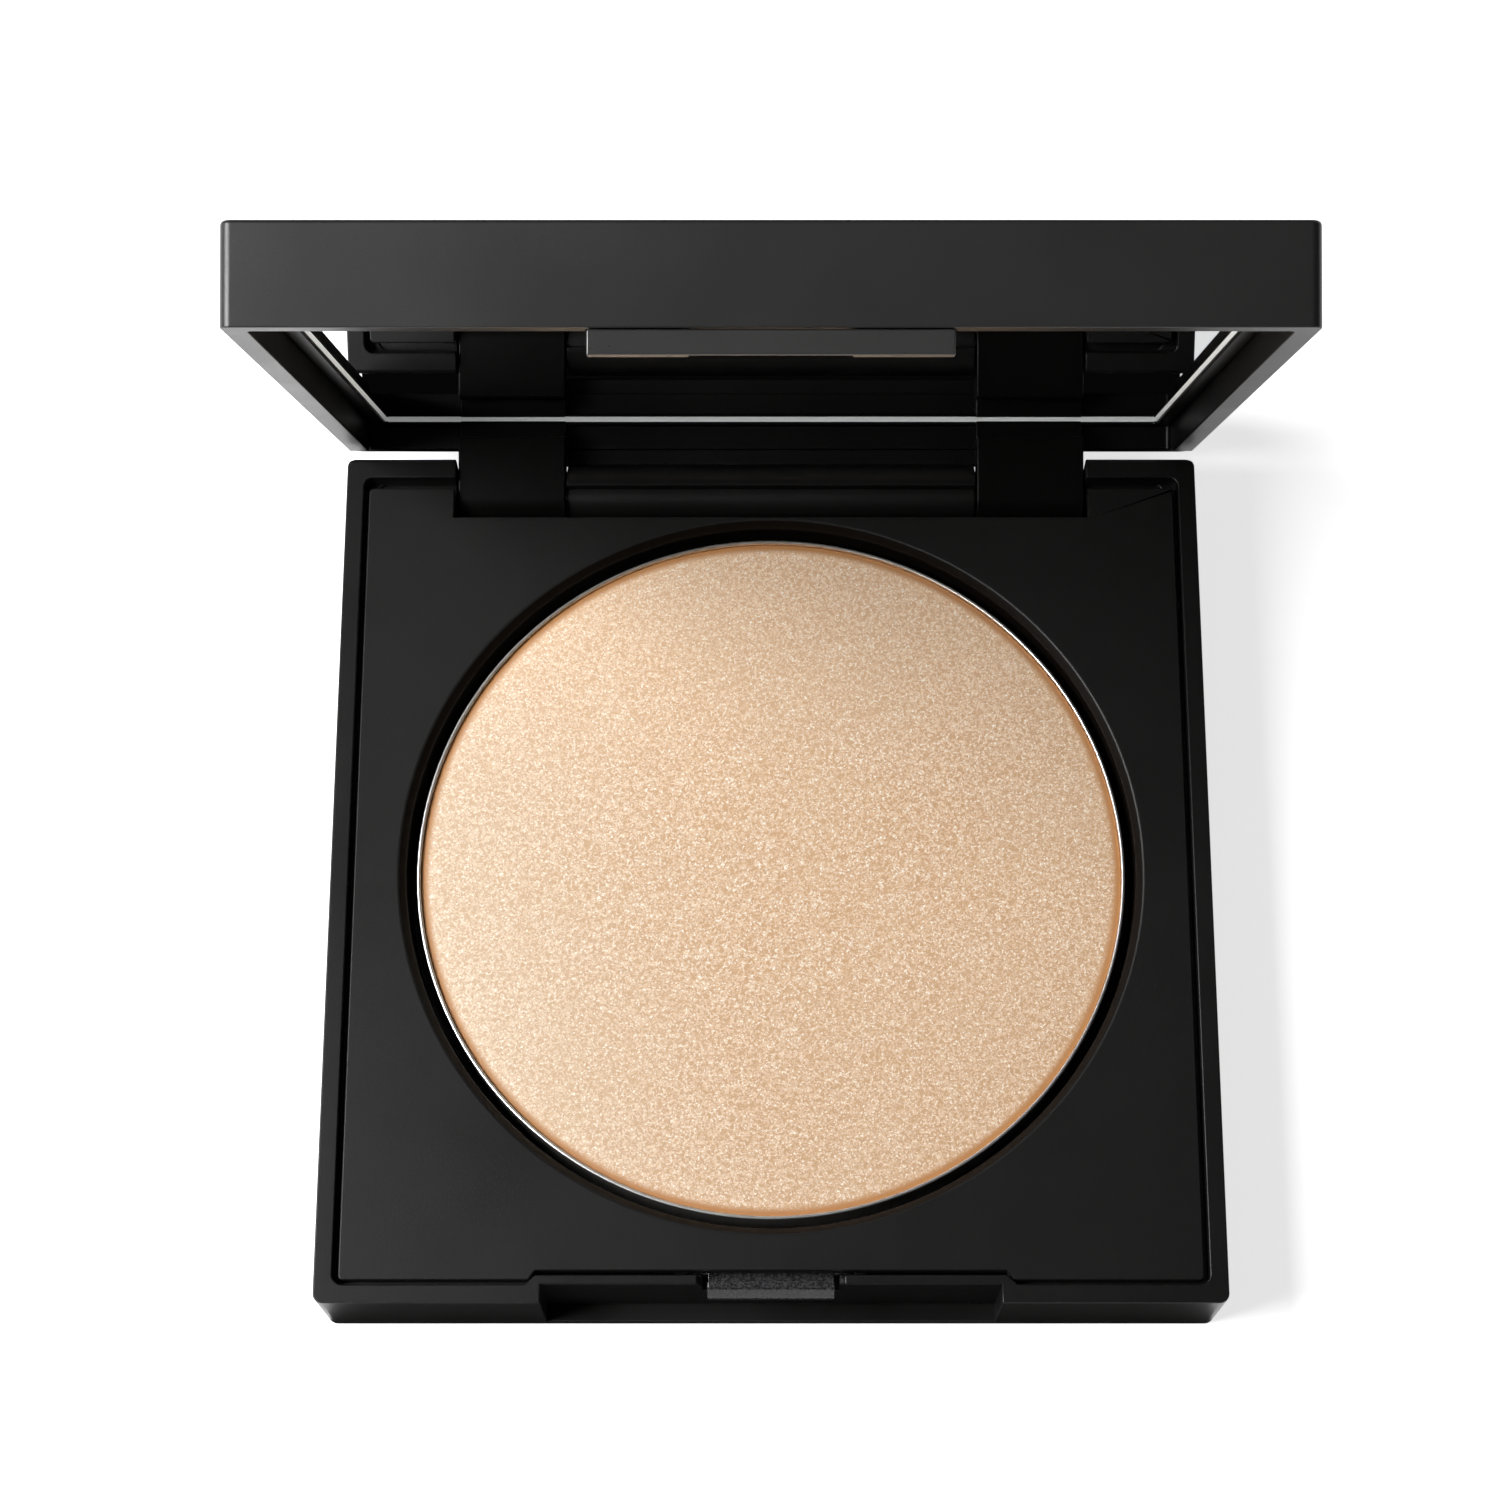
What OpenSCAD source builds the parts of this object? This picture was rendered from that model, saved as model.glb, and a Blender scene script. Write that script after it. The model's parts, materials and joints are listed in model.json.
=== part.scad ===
// Powder compact: a square hinged case with a mirror in its lid and a round pan of pressed powder.
// Millimetres. The origin is the middle of the base's underside, +Z is up, the hinge is at +Y
// and the front, with its finger notch, is at -Y. The lid is drawn open.

/* [Case] */
// Overall width of the base and the lid
case_w = 73; // [70:0.5:90]
// Overall depth of the base and the lid
case_d = 73; // [72:0.5:90]
// Height of the base, from its underside to its rim
base_h = 10.5; // [10:0.1:14]
// Thickness of the lid
lid_h = 7.2; // [6.6:0.1:10]
// Radius of the case's upright corners
corner_r = 0.8; // [0.4:0.1:1.4]
// Gap between the rims when the lid is shut
seam_gap = 0.12; // [0.08:0.01:0.3]
// Angle that the lid stands open at, measured from shut
lid_open = 73; // [0:1:100]

/* [Base shell] */
// Thickness of the front and side walls at the rim
rim_w = 1.5; // [1.2:0.1:2]
// Thickness of the back wall at the rim
rear_rim_w = 1.85; // [1.6:0.05:2.2]
// Thickness of the floor
floor_t = 1.2; // [0.8:0.1:1.6]
// Width of the ledge that the insert plate sits on
ledge_w = 1.1; // [0.8:0.1:1.5]
// Chamfer along the back edge of the rim
rear_chamfer = 0.3; // [0.2:0.05:0.5]

/* [Insert plate] */
// How far the plate's face lies below the rim
deck_drop = 0.4; // [0.2:0.05:0.6]
// Thickness of the plate
deck_t = 1.2; // [0.8:0.1:1.5]
// Gap between the plate's edge and the rim, at the front and sides
deck_gap = 0.4; // [0.2:0.05:0.6]
// Gap between the plate's edge and the rim, at the back
deck_rear_gap = 0.8; // [0.4:0.05:1]
// Width and depth of the bevel round the well
well_bevel = 0.6; // [0.3:0.05:0.9]
// Thickness of the well's side wall
well_wall = 0.8; // [0.6:0.1:1]
// Thickness of the well's floor
well_floor = 1; // [0.6:0.1:1.4]

/* [Pan and powder] */
// Diameter of the metal pan
pan_d = 59; // [40:0.5:60]
// Height of the metal pan
pan_h = 5; // [3:0.1:5.5]
// Thickness of the pan's metal
pan_t = 0.3; // [0.2:0.05:0.5]
// How far the pan's edge lies below the plate's face
pan_drop = 1.2; // [0.4:0.1:2]
// Gap between the pan and the well's wall
pan_gap = 0.8; // [0.3:0.05:1]
// How far the powder's face lies below the pan's edge
powder_drop = 0.15; // [0.05:0.05:1]
// Diameter of the adhesive disc under the pan
adhesive_d = 40; // [20:1:50]
// Thickness of the adhesive disc
adhesive_t = 0.3; // [0.1:0.05:0.5]

/* [Finger notch and latch] */
// Width of the finger notch in the front wall
notch_w = 36.8; // [30:0.2:44]
// Depth of the finger notch, from the front face
notch_depth = 1.5; // [1.3:0.05:1.7]
// Height of the sill left under the finger notch
notch_sill = 1; // [0.6:0.1:2]
// Thickness of the rim behind the finger notch
notch_rim = 0.75; // [0.6:0.05:1]
// Width of the catch's nose
catch_w = 10.2; // [8:0.2:14]
// Height of the catch's nose
nose_h = 1.45; // [1:0.05:1.8]
// Height of the nose's front face, under its slope
nose_front_h = 0.6; // [0.4:0.05:0.9]
// How far the nose's top lies below the rim
nose_drop = 0.45; // [0.3:0.05:0.7]
// How far the nose's front lies behind the case's front face
nose_inset = 0.55; // [0.5:0.05:0.8]
// How far the catch can be pushed in
catch_travel = 0.45; // [0.3:0.05:0.5]
// How far the catch's wings reach past its nose, on each side
wing_reach = 1.5; // [1:0.1:2]
// Length of the leaf spring behind the catch
leaf_w = 10; // [8:0.5:11]
// Thickness of the leaf spring
leaf_t = 0.15; // [0.1:0.05:0.2]
// Width of the lid's tab
tab_w = 24.4; // [20:0.2:29]
// How far the tab stands below the lid's rim
tab_drop = 1.8; // [1.4:0.1:2.4]
// Thickness of the tab
tab_t = 1.1; // [0.9:0.05:1.2]

/* [Hinge] */
// Distance of the hinge axis in front of the back face
hinge_inset = 2.2; // [2:0.05:2.6]
// Depth of the hinge axis below the base's rim
hinge_drop = 3.8; // [3.6:0.05:4.2]
// Outer radius of the base's hinge barrels
knuckle_r = 2; // [1.6:0.05:2]
// Outer radius of the lid's hinge lugs
lug_r = 2.6; // [2:0.05:2.65]
// Diameter of the hinge pins
pin_d = 1.5; // [1.2:0.1:1.8]
// Length of each hinge pin
pin_l = 22.7; // [19.5:0.1:24]
// Width of each of the lid's hinge lugs
lug_w = 9.2; // [7:0.2:11]
// Distance of each lug's middle from the middle of the case
lug_x = 22.4; // [20:0.2:24]
// How far a lug's thick part reaches above the lid's rim
lug_rise = 1.2; // [0.6:0.1:2]
// Thickness of the neck between a lug's thick part and the mirror frame
neck_t = 1.3; // [1:0.1:1.6]
// Outer radius of the cover over the back of the middle knuckle
cover_r = 2.9; // [2.4:0.1:3.1]
// Thickness of the lid's skirt behind the hinge
skirt_t = 1.2; // [0.8:0.1:1.5]

/* [Lid] */
// Thickness of the lid's walls at the rim
lid_rim_w = 1.7; // [1.4:0.1:2.2]
// Thickness of the lid's top
lid_top_t = 1.3; // [1:0.1:1.8]
// Depth of the mirror's face below the lid's rim
mirror_drop = 2.9; // [2.4:0.1:3.2]
// Thickness of the mirror
mirror_t = 1.2; // [0.8:0.1:1.3]
// Width of the frame's bevel over the mirror's edge
bezel = 0.5; // [0.3:0.05:0.8]
// Width of the frame's side, outside the mirror
frame_w = 0.65; // [0.5:0.05:0.9]
// Margin between the foam pad and the mirror's edge
pad_margin = 3; // [1:0.5:8]

/* [Label] */
// Width of the blank label under the base
label_w = 44; // [20:1:60]
// Depth of the blank label under the base
label_d = 26; // [10:1:60]
// Thickness of the blank label
label_t = 0.15; // [0.1:0.05:0.3]

/* [Hidden] */

$fn = 96;
eps = 0.01;

// Named clearances
loose = 0.1;         // pieces that are pushed together and glued
running = 0.05;      // the lid's lugs on the pins
tight = 0.01;        // the pins in the base
side_play = 0.15;    // each side of a hinge lug
nose_clear = 0.1;    // the tab's channel in front of the catch's nose
swing_clear = 0.1;   // the lid's back edge over the base's rim as it swings

// Case
half_w = case_w / 2;
half_d = case_d / 2;

// Hinge
hinge_y = half_d - hinge_inset;
hinge_z = base_h - hinge_drop;
pin_r = pin_d / 2;
lug_in = lug_x - lug_w / 2;
lug_out = lug_x + lug_w / 2;
pin_recess = 0.2;                                   // the pin's end inside the side face
slot_half = lug_out + side_play;
slot_floor = hinge_z - lug_r - side_play;
knuckle_half = lug_in - side_play;
// The base's back rim lies within this distance of the hinge axis, and the lid's edge beyond it
base_swing_r = sqrt(pow(hinge_inset - rear_chamfer, 2) + pow(hinge_drop, 2));
lid_swing_r = base_swing_r + swing_clear;
rear_relief = lid_swing_r - hinge_drop - seam_gap;
relief_run = sqrt(pow(lid_swing_r, 2) - pow(hinge_drop + seam_gap, 2));
skirt_half = lug_out;                               // the skirt covers the gaps beside the lugs

// Plate, well, pan and powder
deck_top = base_h - deck_drop;
deck_under = deck_top - deck_t;
hinge_recess = 0.5;                                 // from the lugs to the plate's cut-back edge
deck_notch_front = hinge_y - lug_r - hinge_recess;
well_r = pan_d / 2 + pan_gap;
well_outer_r = well_r + well_wall;
pan_top = deck_top - pan_drop;
pan_bottom = pan_top - pan_h;
well_floor_top = pan_bottom - adhesive_t;
plate_r = 0.4;                                      // the plate's corner radius

// Finger notch
step_margin = 0.85;                                 // the rim's step is this much wider than the notch
step_slant = 0.4;
step_half = notch_w / 2 + step_margin;
notch_back = notch_depth + notch_rim;               // from the front face to the rim's inner edge

// Catch, measured back from the front face
leg_lap = 0.25;                                     // the leg starts this far in front of the wall
leg_t = 0.6;
foot_d = 1.35;
foot_h = 1.2;
nose_reach = notch_depth - leg_lap;                 // the nose ends where the leg starts
leg_back = nose_reach + leg_t;
wall_back = rim_w + ledge_w;
foot_front = wall_back + loose / 2;
foot_back = foot_front + foot_d;
foot_top = min(base_h - nose_drop - nose_h, deck_under) - loose;
foot_bottom = foot_top - foot_h;
window_play = 0.4;                                  // each side of the nose
window_flare = 1;                                   // the window widens this far below the rim
window_slant = 0.4;
window_half = catch_w / 2 + window_play;
wing_half = catch_w / 2 + wing_reach;
shelf_top = foot_bottom - loose / 2;
shelf_lap = 0.8;                                    // the shelf reaches this far past the foot
shelf_back = foot_back + shelf_lap;
shelf_t = 1;
cheek_w = 1;

// Leaf spring, bowed between the catch and a stop on the insert plate
leaf_bow = 2 * catch_travel;                        // the catch's full travel flattens it by half
leaf_front = foot_back + loose;
leaf_back = leaf_front + leaf_t + leaf_bow;
leaf_r = (pow(leaf_w / 2, 2) + pow(leaf_bow, 2)) / (2 * leaf_bow);
stop_w = 4;

// Lid, in its shut position
lid_z = base_h + seam_gap;
lid_in = lid_rim_w + loose;                         // from the outer face to the frame
mirror_z = lid_z + mirror_drop;
mirror_back = mirror_z + mirror_t;
frame_top = lid_z + lid_h - lid_top_t - loose / 2;
glass_inset = lid_in + frame_w;
bezel_lap = 0.6;                                    // the bezel overlaps the glass
bezel_inset = glass_inset + bezel_lap;
bezel_r = 0.3;
pad_r = 2;
tab_inset = 0.1;
channel_play = 0.3;                                 // each side of the nose, in the tab's channel
tab_skin = 0.75;                                    // the lid's wall in front of the tab's arm

// Label
label_r = 1.5;

// A flat rectangle with round corners, centred on the origin
module round_rect(w, d, r) {
    square([w - 2 * r, d], center = true);
    square([w, d - 2 * r], center = true);
    for (x = [-1, 1], y = [-1, 1])
        translate([x * (w / 2 - r), y * (d / 2 - r)]) circle(r);
}

// An upright slab with round corners, between two heights
module slab(w, d, r, z0, z1) {
    translate([0, 0, z0]) linear_extrude(z1 - z0) round_rect(w, d, r);
}

// A box from its two opposite corners
module block(a, b) {
    translate(a) cube(b - a);
}

// A round bar along X on the hinge axis
module hinge_bar(x0, x1, r) {
    translate([x0, hinge_y, hinge_z]) rotate([0, 90, 0]) cylinder(h = x1 - x0, r = r);
}

// Turns a lid piece from shut to open about the hinge axis
module opened() {
    translate([0, hinge_y, hinge_z]) rotate([-lid_open, 0, 0])
        translate([0, -hinge_y, -hinge_z]) children();
}

// A flat strip along the front face with slanted ends, from the face to the given depth
module front_step(half, depth) {
    polygon([[-half - step_slant, -half_d], [half + step_slant, -half_d],
             [half + step_slant, -half_d + rim_w - eps], [half - step_slant, -half_d + depth],
             [-half + step_slant, -half_d + depth], [-half - step_slant, -half_d + rim_w - eps]]);
}

module base_shell() color("#232323") difference() {
    union() {
        difference() {
            slab(case_w, case_d, corner_r, 0, base_h);
            // the hollow below the ledge
            translate([0, (ledge_w + rim_w - rear_rim_w) / 2, 0])
                slab(case_w - 2 * (rim_w + ledge_w), case_d - rim_w - ledge_w - rear_rim_w,
                     corner_r, floor_t, base_h + 1);
            // the hollow above the ledge, stepped back behind the finger notch
            translate([0, 0, deck_under]) linear_extrude(base_h) difference() {
                translate([0, (rim_w - rear_rim_w) / 2])
                    round_rect(case_w - 2 * rim_w, case_d - rim_w - rear_rim_w, corner_r);
                front_step(step_half, notch_back);
            }
            // the finger notch
            block([-notch_w / 2, -half_d - 1, notch_sill],
                  [notch_w / 2, -half_d + notch_depth, base_h + 1]);
            // the window that the catch stands in
            translate([0, -half_d + notch_depth - eps, 0]) rotate([90, 0, 0])
                translate([0, 0, -ledge_w - rim_w])
                    linear_extrude(ledge_w + rim_w)
                        polygon([[-window_half, shelf_top], [window_half, shelf_top],
                                 [window_half, base_h - window_flare],
                                 [window_half + window_slant, base_h + eps],
                                 [-window_half - window_slant, base_h + eps],
                                 [-window_half, base_h - window_flare]]);
            // the chamfer along the back edge
            translate([-half_w - 1, half_d, base_h - rear_chamfer]) rotate([45, 0, 0])
                cube([case_w + 2, case_d, rear_chamfer * sqrt(2)]);
            // the gap in the back wall for the hinge
            block([-slot_half, half_d - rear_rim_w - 1, slot_floor],
                  [slot_half, half_d + 1, base_h + 1]);
        }
        // shelf and cheeks that guide the catch
        block([-wing_half - loose - cheek_w, -half_d + wall_back - eps, shelf_top - shelf_t],
              [wing_half + loose + cheek_w, -half_d + shelf_back, shelf_top]);
        for (s = [-1, 1])
            translate([s * (wing_half + loose + cheek_w / 2), 0, 0])
                block([-cheek_w / 2, -half_d + wall_back - eps, floor_t - eps],
                      [cheek_w / 2, -half_d + shelf_back, deck_under - loose / 2]);
        // outer hinge bosses
        for (s = [-1, 1])
            hinge_bar(s > 0 ? slot_half : -half_w + rim_w / 2,
                      s > 0 ? half_w - rim_w / 2 : -slot_half, knuckle_r);
        // middle knuckle: a barrel with a larger cover over its back half
        hinge_bar(-knuckle_half, knuckle_half, knuckle_r);
        intersection() {
            hinge_bar(-knuckle_half, knuckle_half, cover_r);
            block([-knuckle_half, hinge_y, hinge_z], [knuckle_half, hinge_y + cover_r, base_h]);
        }
        block([-knuckle_half, hinge_y, floor_t - eps],
              [knuckle_half, half_d, hinge_z + eps]);
    }
    // bores for the two pins
    for (s = [-1, 1]) {
        inner = half_w - pin_recess - pin_l - loose;
        hinge_bar(s > 0 ? inner : -half_w - 1, s > 0 ? half_w + 1 : -inner, pin_r + tight);
    }
    // the recess for the label
    slab(label_w + 2 * loose, label_d + 2 * loose, label_r + loose, -1, label_t);
}

module insert_plate() color("#2b2b2b") difference() {
    union() {
        translate([0, (rim_w + deck_gap - rear_rim_w - deck_rear_gap) / 2, 0])
            slab(case_w - 2 * (rim_w + deck_gap),
                 case_d - rim_w - deck_gap - rear_rim_w - deck_rear_gap, plate_r,
                 deck_under, deck_top);
        translate([0, 0, well_floor_top - well_floor])
            cylinder(h = deck_under - well_floor_top + well_floor + eps, r = well_outer_r);
        // the stop that the leaf spring leans on
        block([-stop_w / 2, -half_d + leaf_back, foot_bottom],
              [stop_w / 2, -well_r - well_wall / 2, deck_under + eps]);
    }
    // a flat on the well's wall where the leaf spring moves
    block([-leaf_w / 2 - loose, -half_d + foot_back, foot_bottom - loose],
          [leaf_w / 2 + loose, -half_d + leaf_back + loose / 2, foot_top + loose]);
    translate([0, 0, well_floor_top]) cylinder(h = base_h, r = well_r);
    translate([0, 0, deck_top - well_bevel])
        cylinder(h = well_bevel + eps, r1 = well_r, r2 = well_r + well_bevel + eps);
    // cut back behind the finger notch
    translate([0, 0, deck_under - 1]) linear_extrude(base_h)
        front_step(step_half, notch_back + deck_gap);
    // cut back for the hinge
    block([-slot_half - loose, deck_notch_front, deck_under - eps],
          [slot_half + loose, half_d, base_h]);
    hinge_bar(-half_w, half_w, knuckle_r + loose);
}

module powder_pan() color("#d9d6d0") difference() {
    translate([0, 0, pan_bottom]) cylinder(h = pan_h, r = pan_d / 2);
    translate([0, 0, pan_bottom + pan_t]) cylinder(h = pan_h, r = pan_d / 2 - pan_t);
}

module pressed_powder() color("#e6caa4")
    translate([0, 0, pan_bottom + pan_t])
        cylinder(h = pan_h - pan_t - powder_drop, r = pan_d / 2 - pan_t);

module pan_adhesive() color("#c9c3b4")
    translate([0, 0, well_floor_top]) cylinder(h = adhesive_t, r = adhesive_d / 2);

module latch_catch() color("#4a4a4a") translate([0, -half_d, 0]) {
    // the nose, with a slope that the lid's tab rides over
    translate([-catch_w / 2, 0, base_h - nose_drop - nose_h]) rotate([90, 0, 90])
        linear_extrude(catch_w)
            polygon([[nose_inset, 0], [leg_back, 0], [leg_back, nose_h], [nose_reach, nose_h],
                     [nose_inset, nose_front_h]]);
    // the leg, down through the window in the wall
    block([-catch_w / 2, nose_reach, foot_bottom],
          [catch_w / 2, leg_back, base_h - nose_drop - nose_h + eps]);
    // the foot and its wings, behind the wall
    block([-catch_w / 2, nose_reach, foot_bottom], [catch_w / 2, foot_back, foot_top]);
    block([-wing_half, foot_front, foot_bottom], [wing_half, foot_back, foot_top]);
}

module catch_spring() color("#b8bcc0")
    translate([0, -half_d + leaf_back - leaf_r, foot_bottom])
        intersection() {
            difference() {
                cylinder(h = foot_top - foot_bottom, r = leaf_r);
                translate([0, 0, -1]) cylinder(h = foot_top, r = leaf_r - leaf_t);
            }
            block([-leaf_w / 2, 0, 0], [leaf_w / 2, leaf_r, foot_top - foot_bottom]);
        }

module hinge_pin_left() color("#c4c6c8") hinge_bar(-half_w + pin_recess,
                                                   -half_w + pin_recess + pin_l, pin_r);

module hinge_pin_right() color("#c4c6c8") hinge_bar(half_w - pin_recess - pin_l,
                                                    half_w - pin_recess, pin_r);

module base_label() color("#3a3a3a") slab(label_w, label_d, label_r, 0, label_t);

module lid_shell() color("#3a3a3a") opened() union() {
    lid_box();
    // the skirt that closes the gap over the middle knuckle and the lugs
    block([-skirt_half, half_d - skirt_t, hinge_z + cover_r + swing_clear],
          [skirt_half, half_d, lid_z + rear_relief + eps]);
}

// The lid without its skirt
module lid_box() difference() {
    slab(case_w, case_d, corner_r, lid_z, lid_z + lid_h);
    slab(case_w - 2 * lid_rim_w, case_d - 2 * lid_rim_w, corner_r / 2,
         lid_z - 1, lid_z + lid_h - lid_top_t);
    // the pocket for the tab's arm, inside the front wall
    block([-tab_w / 2 - loose, -half_d + tab_skin, lid_z - 1],
          [tab_w / 2 + loose, -half_d + lid_rim_w + 1, frame_top + loose / 2]);
    // the back edge is cut short, so that it clears the base as it opens
    block([-half_w - 1, hinge_y - relief_run, lid_z - 1],
          [half_w + 1, half_d + 1, lid_z + rear_relief]);
}

// One hinge lug: a barrel that runs up into a thick arm, and a neck from there to the frame
module lug(x) {
    hinge_bar(x - lug_w / 2, x + lug_w / 2, lug_r);
    block([x - lug_w / 2, hinge_y - lug_r, hinge_z],
          [x + lug_w / 2, half_d - lid_in, lid_z + lug_rise]);
    block([x - lug_w / 2, half_d - lid_in - neck_t, hinge_z],
          [x + lug_w / 2, half_d - lid_in, mirror_z]);
}

module mirror_frame() color("#202020") opened() difference() {
    union() {
        difference() {
            slab(case_w - 2 * lid_in, case_d - 2 * lid_in, corner_r / 2 - loose / 2,
                 mirror_z - bezel, frame_top);
            slab(case_w - 2 * glass_inset + loose, case_d - 2 * glass_inset + loose, corner_r / 2,
                 mirror_z, frame_top + 1);
            slab(case_w - 2 * bezel_inset, case_d - 2 * bezel_inset, bezel_r,
                 mirror_z - bezel - 1, mirror_z + 1);
        }
        for (s = [-1, 1]) lug(s * lug_x);
        // the tab's arm, inside the lid's front wall
        block([-tab_w / 2, -half_d + tab_skin + loose, lid_z + loose / 2],
              [tab_w / 2, -half_d + lid_in + eps, frame_top]);
        // the tab
        block([-tab_w / 2, -half_d + tab_inset, lid_z - tab_drop],
              [tab_w / 2, -half_d + tab_inset + tab_t, lid_z - loose]);
        block([-tab_w / 2, -half_d + tab_skin + loose, lid_z - loose - eps],
              [tab_w / 2, -half_d + tab_inset + tab_t, lid_z + loose]);
    }
    // the channel that goes over the catch's nose
    block([-catch_w / 2 - channel_play, -half_d + nose_inset - nose_clear, lid_z - tab_drop - 1],
          [catch_w / 2 + channel_play, -half_d + rim_w, lid_z - loose]);
    // bores for the pins
    hinge_bar(-slot_half - 1, slot_half + 1, pin_r + running);
}

module mirror_glass() color("#e8ecee") opened()
    slab(case_w - 2 * glass_inset, case_d - 2 * glass_inset, corner_r / 2, mirror_z, mirror_back);

module mirror_pad() color("#55585a") opened()
    slab(case_w - 2 * (glass_inset + pad_margin), case_d - 2 * (glass_inset + pad_margin), pad_r,
         mirror_back, frame_top);

base_shell();
insert_plate();
powder_pan();
pressed_powder();
pan_adhesive();
latch_catch();
catch_spring();
hinge_pin_left();
hinge_pin_right();
base_label();
lid_shell();
mirror_frame();
mirror_glass();
mirror_pad();
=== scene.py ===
import json
from math import pi, radians

import bpy
import numpy as np
from mathutils import Matrix, Vector


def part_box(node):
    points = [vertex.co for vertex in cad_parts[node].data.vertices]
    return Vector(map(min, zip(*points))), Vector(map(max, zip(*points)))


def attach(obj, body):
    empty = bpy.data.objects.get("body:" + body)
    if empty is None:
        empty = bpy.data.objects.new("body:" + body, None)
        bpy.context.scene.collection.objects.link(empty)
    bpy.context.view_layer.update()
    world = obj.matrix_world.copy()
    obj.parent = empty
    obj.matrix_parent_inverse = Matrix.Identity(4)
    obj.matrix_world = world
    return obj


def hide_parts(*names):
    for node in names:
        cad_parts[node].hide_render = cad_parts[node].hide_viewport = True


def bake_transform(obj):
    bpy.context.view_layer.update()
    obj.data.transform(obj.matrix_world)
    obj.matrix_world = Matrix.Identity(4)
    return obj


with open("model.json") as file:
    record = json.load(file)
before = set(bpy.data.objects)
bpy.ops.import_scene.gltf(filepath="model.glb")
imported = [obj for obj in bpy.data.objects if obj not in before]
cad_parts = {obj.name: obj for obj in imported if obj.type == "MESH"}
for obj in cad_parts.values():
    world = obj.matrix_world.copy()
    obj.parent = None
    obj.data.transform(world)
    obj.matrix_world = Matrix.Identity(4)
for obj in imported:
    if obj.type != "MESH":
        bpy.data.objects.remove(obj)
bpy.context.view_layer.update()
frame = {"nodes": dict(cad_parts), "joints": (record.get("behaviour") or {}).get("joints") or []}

MM = 0.001
MERGE = 0.015 * MM          # closer vertices than this are one vertex
RIM = 0.4 * MM              # slack for telling a moulding's inside from its outside
SKIN = 0.05 * MM            # slack for telling an outer face from the rest
ROUND = 160                 # sides of the tin and the powder

HINGE = next(j for j in frame["joints"] if j["name"] == "lid_hinge")
HINGE_POINT = Vector(HINGE["pos_m"])
OPENING = Matrix.Rotation(radians(-HINGE["range_deg"][0]), 4, Vector(HINGE["axis"]))
LID_OPEN = Matrix.Translation(HINGE_POINT) @ OPENING @ Matrix.Translation(-HINGE_POINT)


# ---------------------------------------------------------------- modelling

def deselect():
    if bpy.context.object and bpy.context.object.mode != "OBJECT":
        bpy.ops.object.mode_set(mode="OBJECT")
    bpy.ops.object.select_all(action="DESELECT")


def pick(piece):
    """Makes the piece the only one selected."""
    deselect()
    piece.select_set(True)
    bpy.context.view_layer.objects.active = piece


def select_parts(piece, faces=None, edges=None):
    """Selects what the test accepts, and stays in edit mode.

    A face's test is given its centre and normal, and an edge's test its two ends.
    """
    pick(piece)
    mesh = piece.data
    bpy.ops.object.mode_set(mode="EDIT")
    bpy.ops.mesh.select_mode(type="FACE" if faces else "EDGE")
    bpy.ops.mesh.select_all(action="DESELECT")
    bpy.ops.object.mode_set(mode="OBJECT")
    if faces:
        for f in mesh.polygons:
            f.select = faces(f.center, f.normal)
    else:
        for e in mesh.edges:
            e.select = edges(*(mesh.vertices[i].co for i in e.vertices))
    bpy.ops.object.mode_set(mode="EDIT")


def mark_ridges(piece, angle):
    """Weights for the bevel: 1 on every outside corner sharper than the angle."""
    mesh, beside = piece.data, {}
    for f in mesh.polygons:
        ring = list(f.vertices)
        for pair in zip(ring, ring[1:] + ring[:1]):
            beside[pair] = f.normal
    weight = mesh.attributes.new("bevel_weight_edge", "FLOAT", "EDGE")
    for e in mesh.edges:
        a, b = e.vertices
        one, other = beside.get((a, b)), beside.get((b, a))
        if one and other and one.angle(other, 0) > angle:
            along = mesh.vertices[b].co - mesh.vertices[a].co
            weight.data[e.index].value = float(one.cross(other).dot(along) > 0)


def soften(piece, width, segments=3, angle=40, smooth=38):
    """Rounds every outside corner sharper than the angle, and smooths the shading of the rest."""
    pick(piece)
    mark_ridges(piece, radians(angle))
    bevel = piece.modifiers.new("round_edges", "BEVEL")
    bevel.width = width
    bevel.segments = segments
    bevel.limit_method = "WEIGHT"
    bevel.use_clamp_overlap = False
    bpy.ops.object.modifier_apply(modifier=bevel.name)
    bpy.ops.object.shade_smooth_by_angle(angle=radians(smooth))
    even = piece.modifiers.new("flat_faces", "WEIGHTED_NORMAL")
    even.keep_sharp = True
    even.weight = 100
    bpy.ops.object.modifier_apply(modifier=even.name)


def moulded(node, name, flat=0.6):
    """A merged copy of a CAD node. Faces within the flat angle, in degrees, become one face."""
    deselect()
    piece = bpy.data.objects.new(name, frame["nodes"][node].data.copy())
    bpy.context.scene.collection.objects.link(piece)
    pick(piece)
    bpy.ops.object.mode_set(mode="EDIT")
    bpy.ops.mesh.select_all(action="SELECT")
    bpy.ops.mesh.remove_doubles(threshold=MERGE)
    bpy.ops.mesh.customdata_custom_splitnormals_clear()
    bpy.ops.mesh.dissolve_limited(angle_limit=radians(flat))
    bpy.ops.object.mode_set(mode="OBJECT")
    return piece


def settle(piece, name, matrix=Matrix.Identity(4)):
    """Puts the piece's place into its mesh, after turning it by the matrix."""
    piece.name = name
    piece.data.name = name
    piece.matrix_world = matrix @ piece.matrix_world
    pick(piece)
    bpy.ops.object.transform_apply(location=True, rotation=True, scale=True)
    return piece


def shut_box(node):
    """A lid node's lowest and highest corners with the lid shut."""
    back = LID_OPEN.inverted()
    co = np.array([back @ v.co for v in frame["nodes"][node].data.vertices])
    return Vector(co.min(0)), Vector(co.max(0))


# ---------------------------------------------------------------- finishes

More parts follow.
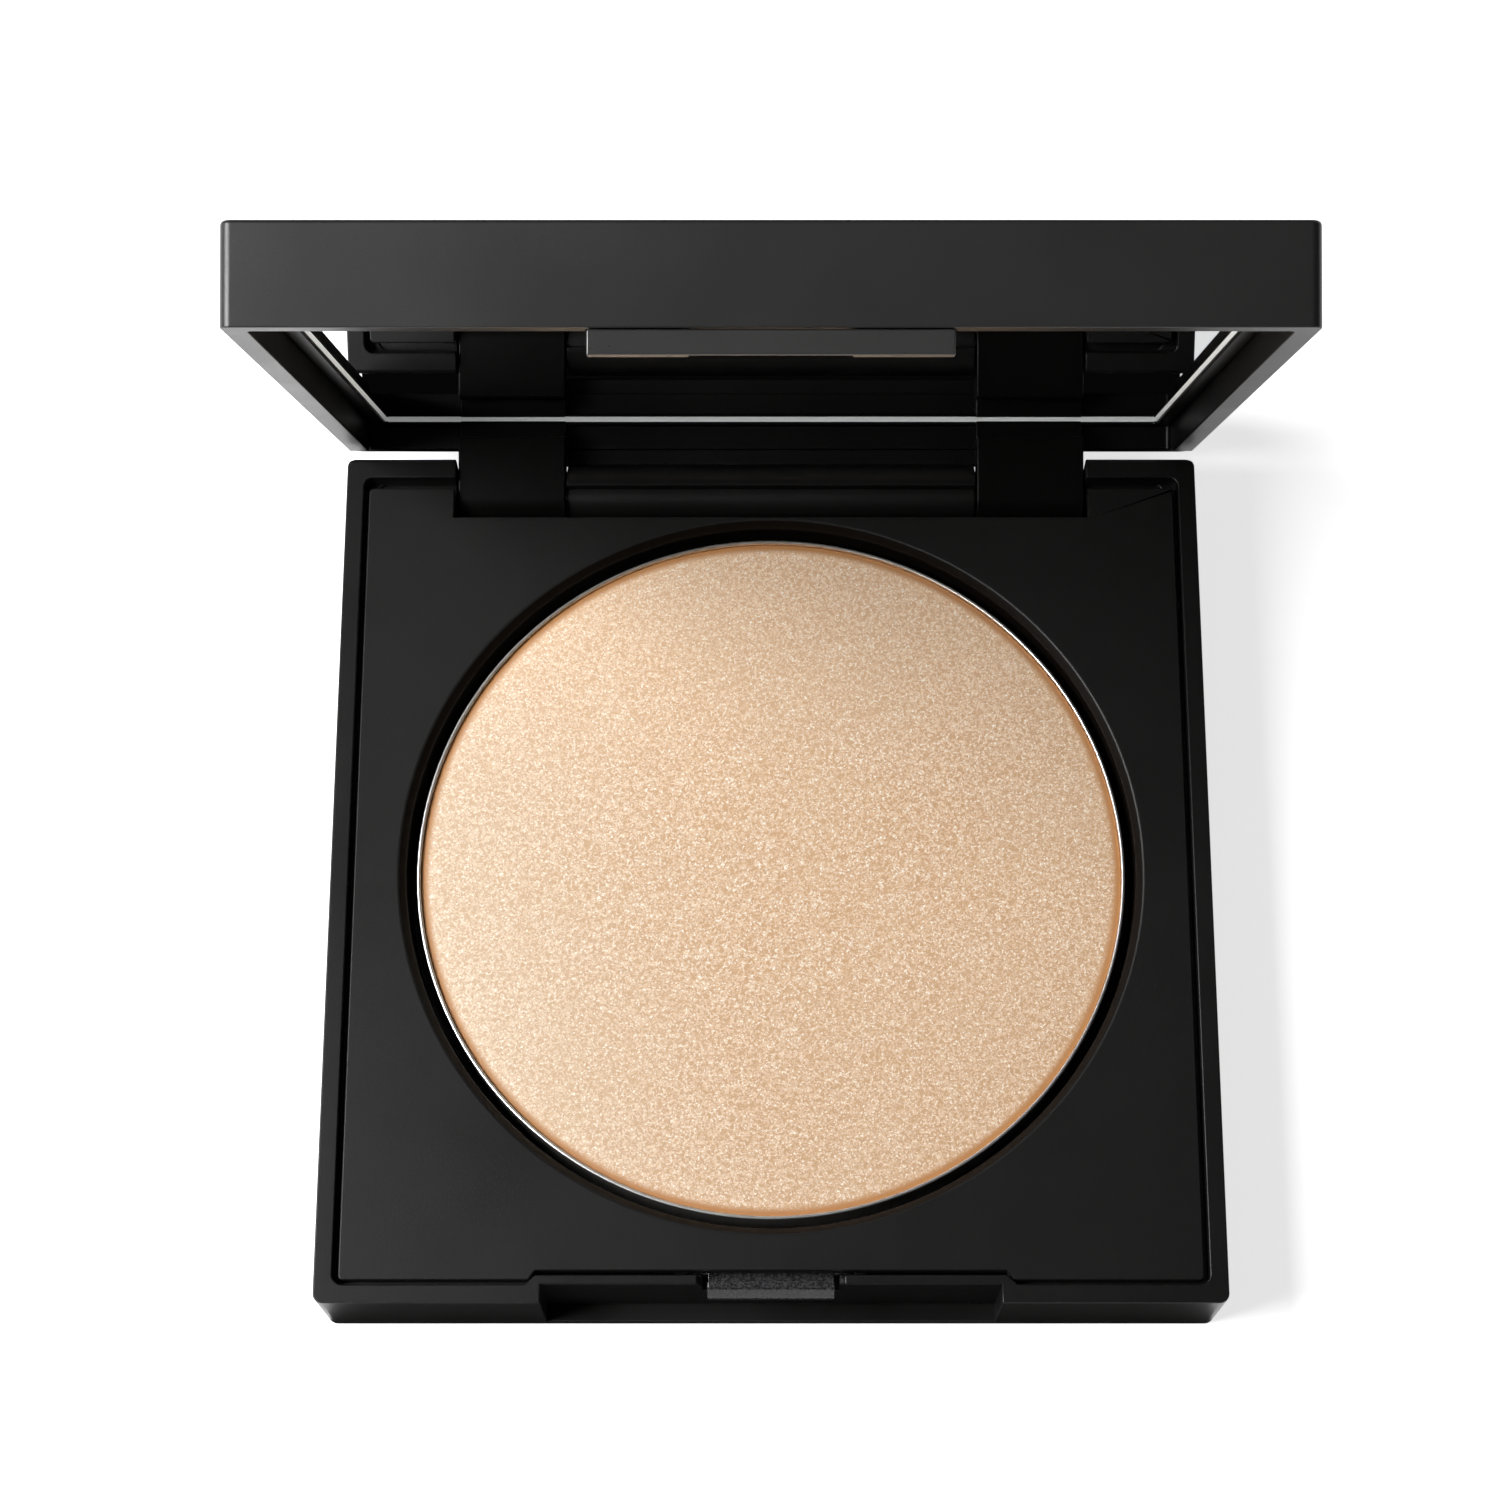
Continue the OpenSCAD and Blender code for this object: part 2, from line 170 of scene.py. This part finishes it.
class Wire:
    """A node's socket that Python's operators work on."""

    def __init__(self, socket):
        self.socket = socket
        self.tree = socket.id_data

    def feed(self, value):
        if isinstance(value, Wire):
            self.tree.links.new(value.socket, self.socket)
        else:
            self.socket.default_value = value

    def math(self, operation, *values):
        node = self.tree.nodes.new("ShaderNodeMath")
        node.operation = operation
        for socket, value in zip(node.inputs, values):
            Wire(socket).feed(value)
        return Wire(node.outputs[0])

    def __add__(self, other):
        return self.math("ADD", self, other)

    def __radd__(self, other):
        return self.math("ADD", other, self)

    def __sub__(self, other):
        return self.math("SUBTRACT", self, other)

    def __rsub__(self, other):
        return self.math("SUBTRACT", other, self)

    def __mul__(self, other):
        return self.math("MULTIPLY", self, other)

    def __rmul__(self, other):
        return self.math("MULTIPLY", other, self)

    def __truediv__(self, other):
        return self.math("DIVIDE", self, other)

    def __pow__(self, other):
        return self.math("POWER", self, other)

    def between(self, low, high):
        """0 below low, 1 above high, and smooth from one to the other."""
        node = self.tree.nodes.new("ShaderNodeMapRange")
        node.interpolation_type = "SMOOTHSTEP"
        for socket, value in zip(node.inputs, (self, low, high, 0.0, 1.0)):
            Wire(socket).feed(value)
        return Wire(node.outputs[0])


class Finish:
    """A material, with one method that adds any node."""

    def __init__(self, name, **constants):
        self.material = bpy.data.materials.new(name)
        self.material.use_nodes = True
        self.tree = self.material.node_tree
        self.surface = self.tree.nodes["Principled BSDF"]
        for key, value in constants.items():
            self.surface.inputs[key.replace("_", " ")].default_value = value
        self.place = self.add("ShaderNodeTexCoord", out="Object")

    def add(self, kind, settings=None, out=0, **sockets):
        node = self.tree.nodes.new(kind)
        for key, value in (settings or {}).items():
            setattr(node, key, value)
        for key, value in sockets.items():
            Wire(node.inputs[key.replace("_", " ")]).feed(value)
        return Wire(node.outputs[out])

    def noise(self, size, detail=2.0, roughness=0.5, stretch=(1, 1, 1), distortion=0.0):
        """Noise whose lumps are about this size in metres."""
        where = self.add("ShaderNodeMapping", Vector=self.place, Scale=stretch)
        return self.add("ShaderNodeTexNoise", out="Fac", Vector=where, Scale=1 / size,
                        Detail=detail, Roughness=roughness, Distortion=distortion)

    def blend(self, share, first, second):
        """A colour between two, by share."""
        node = self.tree.nodes.new("ShaderNodeMix")
        node.data_type = "RGBA"
        Wire(node.inputs[0]).feed(share)
        for socket, value in ((node.inputs[6], first), (node.inputs[7], second)):
            Wire(socket).feed(value if isinstance(value, Wire) else (*value, 1.0))
        return Wire(node.outputs[2])

    def axes(self):
        """The three coordinates as numbers."""
        node = self.tree.nodes.new("ShaderNodeSeparateXYZ")
        Wire(node.inputs[0]).feed(self.place)
        return [Wire(o) for o in node.outputs]

    def set(self, **sockets):
        for key, value in sockets.items():
            Wire(self.surface.inputs[key.replace("_", " ")]).feed(value)
        return self

    def bumps(self, height, distance, strength=1.0):
        """Height from 0 to 1 becomes relief that deep."""
        normal = self.add("ShaderNodeBump", out="Normal", Height=height, Distance=distance,
                          Strength=strength)
        return self.set(Normal=normal)


def satin_plastic(name, tone, roughness, gloss=0.5, grain=0.16 * MM, relief=0.006 * MM):
    """Moulded black plastic with a fine spark-eroded grain and faint handling marks."""
    f = Finish(name, Specular_IOR_Level=gloss)
    fine = f.noise(grain, detail=3, roughness=0.6)
    broad = f.noise(14 * MM, detail=3, roughness=0.55)
    specks = f.noise(0.5 * MM, detail=1).between(0.68, 0.8)
    smudge = broad.between(0.35, 0.75)
    tint = [c * 1.35 for c in tone]
    f.set(Base_Color=f.blend(fine * 0.6 + specks * 0.25, tone, tint),
          Roughness=roughness + (fine - 0.5) * 0.12 - smudge * 0.05)
    return f.bumps(fine + specks * 0.3, relief).material


def powder_cake(name, centre, radius):
    """Pressed shimmer powder: wavy speckle, painted glints on flecks and a warm painted edge shade.

    Painted light makes it paler towards its lit left side, and lighter and warmer at the back,
    against the lid's shade.
    """
    f = Finish(name, Specular_IOR_Level=0.45, Metallic=0.0)
    x, y, _ = f.axes()
    out = ((x - centre.x) ** 2.0 + (y - centre.y) ** 2.0) ** 0.5
    waves = f.noise(0.31 * MM, detail=3, roughness=0.6, distortion=1.2)
    flecks = f.noise(0.17 * MM, detail=2, roughness=0.6, distortion=0.6)
    broad = f.noise(11 * MM, detail=3)
    # Painted glints: bright flecks where the shimmer catches the light.
    glint = flecks.between(0.52, 0.64) * waves.between(0.40, 0.58)
    # Painted light: paler towards the lit left side, and lighter and warmer at the back where the lid
    # shades it.
    side = ((centre.x - x) * 0.9 + (centre.y - y) * 0.15) / radius
    rear_light_lift = ((y - centre.y) / radius).between(0.0, 1.0)
    left, back = side.between(-0.1, 1.2) * 0.5, rear_light_lift * 0.5
    pale = f.blend(left, (0.79, 0.575, 0.385), (0.95, 0.85, 0.70))
    pale = f.blend(back, pale, (1.0, 0.76, 0.53))
    deep = f.blend(left, (0.59, 0.350, 0.190), (0.80, 0.64, 0.46))
    deep = f.blend(back, deep, (0.85, 0.56, 0.34))
    # The ripples' deep and pale tones are partly the powder's own mottle, partly painted highlight
    # and shade of the ripples.
    cake = f.blend(waves.between(0.40, 0.62), deep, pale)
    cake = f.blend(broad.between(0.3, 0.8) * 0.3, cake, (0.68, 0.475, 0.295))
    cake = f.blend(glint * 0.9, cake, (1.0, 0.97, 0.89))
    # Painted shade: a warm darker ring round the cake's edge, ragged along the ripples.
    shade_from, shade_to, raggedness = radius - 0.95 * MM, radius - 0.25 * MM, 0.25 * MM
    rim_shade = (out + (waves - 0.5) * raggedness).between(shade_from, shade_to)
    cake = f.blend(rim_shade, cake, (0.47, 0.215, 0.075))
    f.set(Base_Color=cake, Roughness=0.62 - glint * 0.3)
    return f.bumps(waves * 0.8 + flecks * 0.35, 0.045 * MM).material


def bright_metal(name, tone, roughness, along):
    """Drawn metal with fine draw lines along one direction."""
    f = Finish(name, Metallic=1.0)
    lines = f.noise(0.25 * MM, detail=3, stretch=along)
    f.set(Base_Color=f.blend(lines * 0.5, tone, [c * 0.86 for c in tone]),
          Roughness=roughness + (lines - 0.5) * 0.1)
    return f.bumps(lines, 0.003 * MM).material


def glossy_catch(name):
    """Dark grey glossy plastic, rubbed to a fine speckle by the tab."""
    f = Finish(name, Specular_IOR_Level=0.7)
    marks = f.noise(0.20 * MM, detail=4, roughness=0.7)
    rubs = f.noise(1.3 * MM, detail=2)
    speckle = marks.between(0.42, 0.62)
    f.set(Base_Color=f.blend(speckle, (0.012, 0.012, 0.013), (0.040, 0.040, 0.042)),
          Roughness=0.20 + rubs * 0.08 + speckle * 0.12)
    return f.bumps(marks, 0.008 * MM).material


def silvered_glass(name):
    """Mirror glass: bright, with the faintest haze."""
    f = Finish(name, Metallic=1.0)
    haze = f.noise(9 * MM, detail=2)
    f.set(Base_Color=f.blend(haze * 0.3, (0.90, 0.915, 0.92), (0.86, 0.88, 0.885)),
          Roughness=0.008 + haze * 0.012)
    return f.material


def glowing_ground_edge(name):
    """The glass's ground edge: a pale line with a painted glow from its own emission."""
    # Painted glow: the emission makes the ground edge shine though it is no lamp.
    f = Finish(name, Specular_IOR_Level=0.5, Emission_Strength=0.25)
    grit = f.noise(0.4 * MM, detail=2)
    pale = f.blend(grit, (0.88, 0.90, 0.88), (0.72, 0.75, 0.73))
    f.set(Base_Color=pale, Emission_Color=pale, Roughness=0.45 + grit * 0.1)
    return f.material


def matt_film(name, tone, roughness=0.6, grain=0.3 * MM):
    """Thin matt film or foam, with a fine tooth."""
    f = Finish(name)
    tooth = f.noise(grain, detail=2)
    f.set(Base_Color=f.blend(tooth, tone, [c * 1.3 for c in tone]), Roughness=roughness + tooth * 0.1)
    return f.bumps(tooth, 0.01 * MM).material


CASE = satin_plastic("case_satin_black", (0.0050, 0.0049, 0.0048), 0.40, gloss=0.35)
# Painted light: a lighter, glossier copy of the case plastic for the lid's outside and the base's
# front face.
CASE_LIT = satin_plastic("case_black_painted_light", (0.0120, 0.0119, 0.0117), 0.41, gloss=0.60)
DECK = satin_plastic("insert_satin_black", (0.0068, 0.0066, 0.0065), 0.42, gloss=0.32)
# Painted shade: a darker copy of the black for the mirror frame and its hinge lugs.
FRAME_SHADE = satin_plastic("frame_black_painted_shade", (0.0022, 0.0021, 0.0020), 0.34, gloss=0.16)
# Painted shade: a darker copy of the black for the lid's inside.
INSIDE_SHADE = satin_plastic("lid_inside_painted_shade", (0.0025, 0.0024, 0.0023), 0.38, gloss=0.2)
# Painted shade of the well's recess, tinted brown by a painted reflection of the powder.
WELL_SHADE = satin_plastic("well_painted_shade", (0.0050, 0.0036, 0.0028), 0.40, gloss=0.12)
# Painted highlight: a lighter, glossier copy of the black for the tab.
TAB_LIT = satin_plastic("tab_black_painted_light", (0.0230, 0.0228, 0.0225), 0.34, gloss=1.0)
PAN = bright_metal("pan_drawn_aluminium", (0.96, 0.94, 0.91), 0.34, (1, 1, 6))
PIN = bright_metal("pin_bright_steel", (0.62, 0.62, 0.63), 0.22, (4, 1, 1))
CATCH = glossy_catch("catch_rubbed_grey")
MIRROR = silvered_glass("mirror_silvered_glass")
EDGE = glowing_ground_edge("mirror_ground_edge")
LABEL = matt_film("label_matt_film", (0.035, 0.035, 0.037))
FOAM = matt_film("pad_foam", (0.09, 0.09, 0.095), 0.8)
GLUE = matt_film("adhesive_disc", (0.55, 0.52, 0.45), 0.55)


def coat(piece, *materials):
    piece.data.materials.clear()
    for m in materials:
        piece.data.materials.append(m)


def fit_piece(piece, node, body, slot, *materials):
    """Gives a finished piece its materials and puts it in a CAD node's place."""
    coat(piece, *materials)
    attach(piece, body)
    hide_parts(node)


def second_coat(piece, test):
    """The piece's second material goes on the faces whose centre and normal the test accepts."""
    for f in piece.data.polygons:
        f.material_index = int(test(f.center, f.normal))


# ---------------------------------------------------------------- pieces

def make_base():
    """The front face gets the lighter copy of the case plastic as painted light, and the rest is as
    moulded.
    """
    piece = moulded("base_shell", "base_moulding")
    soften(piece, 0.13 * MM)
    fit_piece(piece, "base_shell", "base", "case_plastic", CASE, CASE_LIT)
    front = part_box("base_shell")[0].y + 4 * SKIN
    # Painted light: the front face takes the lighter copy of the case plastic.
    second_coat(piece, lambda c, n: n.y < -0.3 and c.y < front)


def make_insert():
    """The plate's face is satin; its well's wall is painted shade, browned by a painted powder
    reflection.
    """
    piece = moulded("insert_plate", "insert_moulding")
    soften(piece, 0.16 * MM)
    fit_piece(piece, "insert_plate", "base", "insert_plastic", DECK, WELL_SHADE)
    low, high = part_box("powder_pan")
    middle, reach = (low + high) / 2, (high.x - low.x) / 2 + 4 * RIM
    # The well's wall gets the painted shade.
    second_coat(piece, lambda c, n: (c - middle).to_2d().length < reach and abs(n.z) < 0.9)


def make_pan():
    """A drawn tin: disc, straight wall, and a rim rolled over all round."""
    low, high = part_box("powder_pan")
    centre, radius, tall = (low + high) / 2, (high.x - low.x) / 2, high.z - low.z
    wall = 0.3 * MM
    deselect()
    bpy.ops.mesh.primitive_cylinder_add(vertices=ROUND, radius=radius, depth=tall, location=centre)
    piece = settle(bpy.context.object, "pan_tin")
    select_parts(piece, faces=lambda c, n: n.z > 0.9)
    bpy.ops.mesh.inset(thickness=wall)
    bpy.ops.mesh.extrude_region_move(TRANSFORM_OT_translate={"value": (0, 0, -(tall - wall))})
    bpy.ops.object.mode_set(mode="OBJECT")
    soften(piece, 0.11 * MM, segments=4)
    fit_piece(piece, "powder_pan", "base", "pan_metal", PAN)


def make_powder():
    """The pressed cake: nearly flat, with a low crown and an edge that has crumbled a little."""
    low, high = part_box("pressed_powder")
    centre, radius, tall = (low + high) / 2, (high.x - low.x) / 2, high.z - low.z
    gap, crumbled = 0.01 * MM, 0.22 * MM
    rings = ((0.35, 0.02), (0.5, 0.04), (1.0, 0.05), (2.5, 0.04), (6.0, 0.035), (9.0, 0.03))
    deselect()
    bpy.ops.mesh.primitive_cylinder_add(vertices=ROUND, radius=radius - gap, depth=tall,
                                        location=centre)
    piece = settle(bpy.context.object, "powder_cake")
    select_parts(piece, faces=lambda c, n: n.z > 0.9)
    bpy.ops.transform.translate(value=(0, 0, -crumbled))
    for step, rise in rings:
        bpy.ops.mesh.inset(thickness=step * MM)
        bpy.ops.transform.translate(value=(0, 0, rise * MM))
    bpy.ops.object.mode_set(mode="OBJECT")
    soften(piece, 0.08 * MM, segments=2)
    cake = powder_cake("powder_pressed_shimmer", centre, radius)
    fit_piece(piece, "pressed_powder", "base", "powder", cake)


def make_catch():
    """The nose's corners are rounded in finer steps than the case's."""
    piece = moulded("latch_catch", "catch_nose")
    soften(piece, 0.14 * MM, segments=4, angle=20, smooth=30)
    fit_piece(piece, "latch_catch", "latch", "catch_plastic", CATCH)


def make_pins():
    """Each pin is a rod with its ends' corners rounded."""
    for side in ("left", "right"):
        low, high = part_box("hinge_pin_" + side)
        centre, radius = (low + high) / 2, (high.z - low.z) / 2
        deselect()
        bpy.ops.mesh.primitive_cylinder_add(vertices=48, radius=radius, depth=high.x - low.x,
                                            location=centre, rotation=(0, pi / 2, 0))
        piece = settle(bpy.context.object, "pin_rod_" + side)
        select_parts(piece, faces=lambda c, n: abs(n.x) > 0.9)
        bpy.ops.mesh.inset(thickness=0.25 * MM, use_individual=True)
        bpy.ops.object.mode_set(mode="OBJECT")
        soften(piece, 0.12 * MM)
        fit_piece(piece, "hinge_pin_" + side, "base", "pin_steel", PIN)


def make_spring():
    """The leaf spring: a merged copy with its corners rounded a little, its place put into its mesh.
    """
    piece = moulded("catch_spring", "spring_leaf")
    soften(piece, 0.03 * MM, segments=2)
    coat(piece, PIN)
    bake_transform(piece)
    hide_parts("catch_spring")


def make_label():
    """The blank label under the base."""
    piece = moulded("base_label", "label_film")
    soften(piece, 0.03 * MM, segments=2)
    fit_piece(piece, "base_label", "base", "label", LABEL)


def make_lid():
    """The lid's outer edges are rounder than its rim; its outside has painted light, its inside
    painted shade.
    """
    piece = moulded("lid_shell", "lid_moulding")
    back = LID_OPEN.inverted()
    top = shut_box("lid_shell")[1].z - SKIN
    select_parts(piece, edges=lambda a, b: (back @ a).z > top and (back @ b).z > top)
    bpy.ops.mesh.bevel(offset=0.32 * MM, segments=4, clamp_overlap=False)
    bpy.ops.object.mode_set(mode="OBJECT")
    soften(piece, 0.12 * MM)
    fit_piece(piece, "lid_shell", "lid", "case_plastic", CASE_LIT, INSIDE_SHADE)
    low, high = shut_box("mirror_frame")

    def inside(centre, normal):
        spot = back @ centre
        across = low.x - RIM < spot.x < high.x + RIM
        return across and low.y < spot.y < high.y + RIM and spot.z < top - RIM

    # Painted shade goes on the lid's inside faces.
    second_coat(piece, inside)


def make_frame():
    """The frame with its hinge lugs has painted shade, and the tab at its front a painted highlight.
    """
    piece = moulded("mirror_frame", "frame_moulding")
    soften(piece, 0.12 * MM)
    fit_piece(piece, "mirror_frame", "lid", "case_plastic", FRAME_SHADE, TAB_LIT)
    back, glass = LID_OPEN.inverted(), shut_box("mirror_glass")[0]
    # The tab, in front of the glass, gets the painted highlight, and the rest the painted shade.
    second_coat(piece, lambda c, n: (back @ c).y < glass.y - 2 * RIM)


def make_mirror():
    """The glass plate, with its ground edge as a thin bead inside the frame that has a painted glow.
    """
    low, high = shut_box("mirror_glass")
    centre, size = (low + high) / 2, high - low
    window, bead, ledge = 0.6 * MM, 0.22 * MM, 0.01 * MM
    deselect()
    bpy.ops.mesh.primitive_cube_add(size=1, location=centre, scale=size)
    piece = settle(bpy.context.object, "mirror_plate")
    select_parts(piece, faces=lambda c, n: n.z < -0.9)
    bpy.ops.mesh.inset(thickness=window)
    bpy.ops.mesh.extrude_region_move(TRANSFORM_OT_translate={"value": (0, 0, -bead)})
    bpy.ops.mesh.inset(thickness=ledge)
    bpy.ops.mesh.extrude_region_move(TRANSFORM_OT_translate={"value": (0, 0, bead)})
    bpy.ops.transform.resize(value=(1 - 2 * bead / size.x, 1 - 2 * bead / size.y, 1))
    bpy.ops.object.mode_set(mode="OBJECT")
    coat(piece, MIRROR, EDGE)

    def ground(c, n):
        """The bead round the window, and the plate's sides: the faces with the painted glow."""
        off_middle = max(abs(c.x - centre.x), abs(c.y - centre.y)) > RIM
        on_bead = off_middle and c.z < low.z - ledge
        on_side = abs(n.z) < 0.5 and c.z > low.z
        return on_bead or on_side

    second_coat(piece, ground)
    settle(piece, "mirror_plate", LID_OPEN)
    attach(piece, "lid")
    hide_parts("mirror_glass")


make_base()
make_insert()
make_pan()
make_powder()
make_catch()
make_pins()
make_spring()
make_label()
make_lid()
make_frame()
make_mirror()
coat(frame["nodes"]["pan_adhesive"], GLUE)
coat(frame["nodes"]["mirror_pad"], FOAM)


# ---------------------------------------------------------------- stage, light and camera

def make_stage():
    """A pale floor. Gloss doesn't see the part close to the case, as if a black card lay there."""
    f = Finish("floor_pale_paper", Emission_Strength=0.75, Emission_Color=(1, 1, 1, 1))
    f.set(Base_Color=f.blend(f.noise(60 * MM), (0.90, 0.90, 0.90), (0.93, 0.93, 0.93)),
          Roughness=0.9)
    far, side, near = 12.0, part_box("base_shell")[1].x + 0.1 * MM, 62 * MM
    sheets = (("floor_left", -far, -side, -far, far), ("floor_right", side, far, -far, far),
              ("floor_front", -side, side, -far, -near), ("floor_back", -side, side, near, far),
              ("floor_under", -side, side, -near, near))
    for name, x0, x1, y0, y1 in sheets:
        deselect()
        bpy.ops.mesh.primitive_plane_add(size=1, location=((x0 + x1) / 2, (y0 + y1) / 2, 0))
        bpy.ops.transform.resize(value=(x1 - x0, y1 - y0, 1))
        sheet = settle(bpy.context.object, name)
        sheet.visible_glossy = name != "floor_under"
        coat(sheet, f.material)


def make_surroundings():
    """A dim room that is brighter overhead."""
    dim, overhead = 0.035, 0.5
    world = bpy.data.worlds.new("studio")
    bpy.context.scene.world = world
    world.use_nodes = True
    tree = world.node_tree
    direction = tree.nodes.new("ShaderNodeTexCoord").outputs["Generated"]
    parts = tree.nodes.new("ShaderNodeSeparateXYZ")
    tree.links.new(direction, parts.inputs[0])
    glow = Wire(parts.outputs["Z"]).between(0.55, 1.0) * overhead + dim
    Wire(tree.nodes["Background"].inputs["Strength"]).feed(glow)


def soft_light(name, spot, target, size, power):
    """A large soft lamp at the spot, turned to the target."""
    light = bpy.data.lights.new(name, "AREA")
    light.shape = "RECTANGLE"
    light.size, light.size_y = size
    light.energy = power
    lamp = bpy.data.objects.new(name, light)
    bpy.context.scene.collection.objects.link(lamp)
    lamp.location = spot
    lamp.rotation_euler = (Vector(target) - Vector(spot)).to_track_quat("-Z", "Y").to_euler()


def make_camera():
    """A long lens, high in front of the case and looking steeply down at it."""
    spot, tilt = (0, -79.7 * MM, 275.8 * MM), 18.07
    camera = bpy.data.cameras.new("camera")
    camera.lens, camera.sensor_width = 80.2, 36.0
    camera.shift_x, camera.shift_y = -0.014, 0.023
    camera.clip_start = 0.01
    stand = bpy.data.objects.new("camera", camera)
    bpy.context.scene.collection.objects.link(stand)
    stand.location = spot
    stand.rotation_euler = (radians(tilt), 0, 0)
    bpy.context.scene.camera = stand


make_stage()
make_surroundings()
soft_light("window_left", spot=(-0.31, -0.02, 0.37), target=(0, 0, 0.02), size=(0.28, 0.22),
           power=3.3)
make_camera()
bpy.context.scene.view_settings.view_transform = "Standard"
